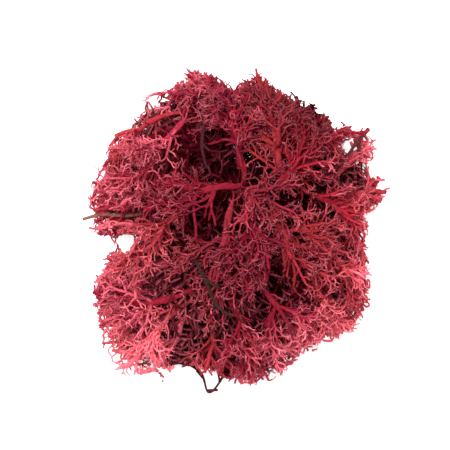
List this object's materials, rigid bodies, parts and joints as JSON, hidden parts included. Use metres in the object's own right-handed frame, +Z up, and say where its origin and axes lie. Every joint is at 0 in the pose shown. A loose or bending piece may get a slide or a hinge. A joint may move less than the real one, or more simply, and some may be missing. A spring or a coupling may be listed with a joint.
{
  "type": "reindeer moss clump",
  "caption": "Rounded handful of dyed red reindeer moss: branching sprays on bare stalks, tangled into one clump that lies on a surface.",
  "frame": {"origin": "on the surface under the middle of the clump's outline", "axes": "+Z up from the surface the clump lies on; +Y across the clump, towards the top of the picture, which looks straight down; +X to the picture's right"},
  "size_m": [0.0988, 0.1044, 0.0463],
  "materials": {
    "coral": "matte",
    "crimson": "matte",
    "rose": "matte",
    "burgundy": "matte",
    "scarlet": "matte",
    "brown": "matte",
    "dark": "matte",
    "grey": "matte"
  },
  "bodies": {
    "root": {"left_upper_fan": "coral", "left_inner_spray": "crimson", "left_far_tuft": "crimson", "top_left_tuft": "rose", "top_cap": "crimson", "top_right_tuft": "rose", "upper_right_band": "coral", "burgundy_tuft": "burgundy", "right_upper_spray": "scarlet", "right_tuft": "rose", "right_far_tuft": "coral", "right_middle_spray": "scarlet", "right_lower_fan": "scarlet", "right_corner_fan": "coral", "bottom_right_fan": "crimson", "bottom_centre_spray": "crimson", "bottom_middle_fan": "coral", "bottom_left_fan": "coral", "bottom_left_tuft": "rose", "left_lower_spray": "crimson", "left_middle_spray": "rose", "coral_spray": "coral", "centre_flat_spray": "crimson", "centre_low_spray": "rose", "centre_star_spray": "crimson", "centre_right_spray": "coral", "centre_top_spray": "crimson", "centre_bough_spray": "scarlet", "centre_knot_spray": "rose", "hollow_left_spray": "burgundy", "hollow_centre_spray": "burgundy", "hollow_right_spray": "burgundy", "under_top_spray": "burgundy", "under_right_spray": "burgundy", "under_right_low_spray": "burgundy", "under_bottom_spray": "burgundy", "under_left_spray": "burgundy", "under_left_top_spray": "burgundy", "under_right_top_spray": "burgundy", "under_centre_spray": "burgundy", "left_stem": "brown", "right_stem": "dark", "bottom_stem": "dark", "blade_stem": "dark", "bark_stem": "grey", "top_stem": "dark"}
  },
  "joints": []
}
